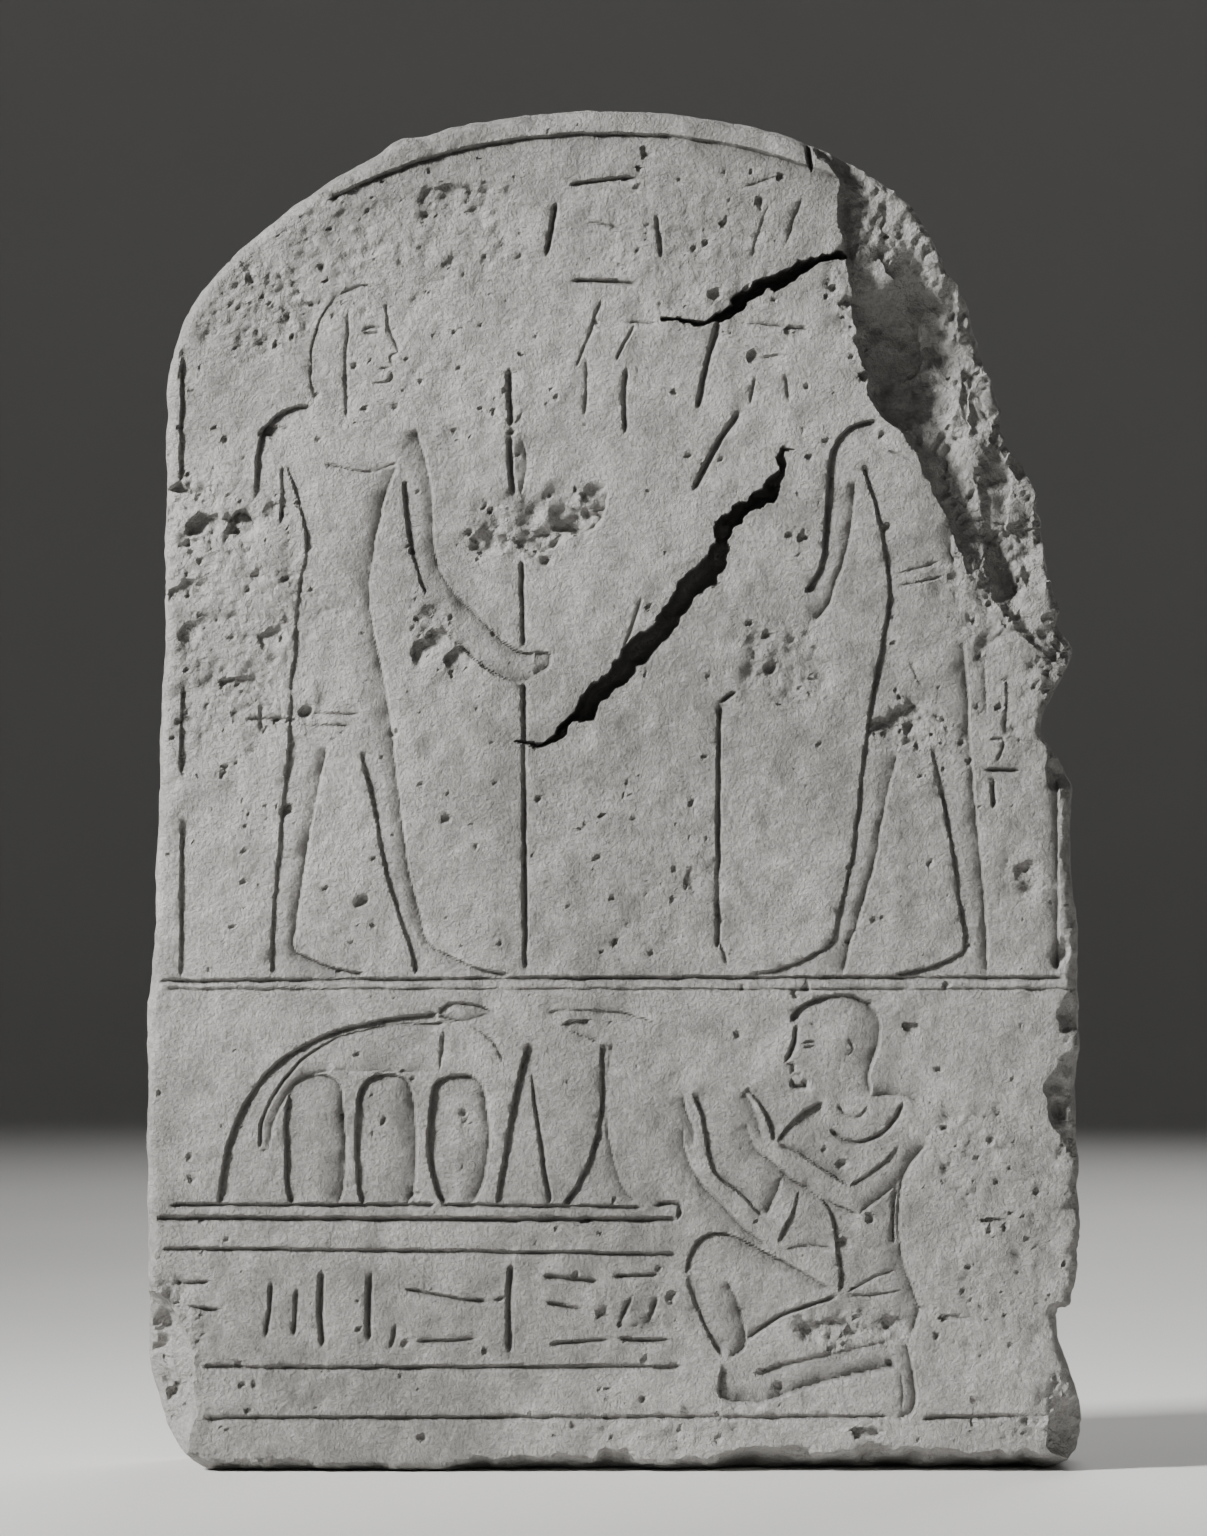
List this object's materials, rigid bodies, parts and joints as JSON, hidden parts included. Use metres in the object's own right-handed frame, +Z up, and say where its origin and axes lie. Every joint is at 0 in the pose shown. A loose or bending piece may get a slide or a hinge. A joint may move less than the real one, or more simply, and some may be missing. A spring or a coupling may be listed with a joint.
{
  "type": "carved stone stele",
  "caption": "Round-topped stone slab carved in sunk relief with standing and kneeling figures, offerings and ruled bands, chipped and cracked at one shoulder.",
  "frame": {"origin": "centre of the flat underside", "axes": "+Z up, carved face towards -Y, flat back towards +Y, +X to the right of a viewer who faces the carving"},
  "size_m": [0.2794, 0.062, 0.4048],
  "materials": {
    "limestone": "weathered matt, finely pitted, paler and rougher where broken"
  },
  "bodies": {
    "root": {"stele": "limestone"}
  },
  "joints": []
}
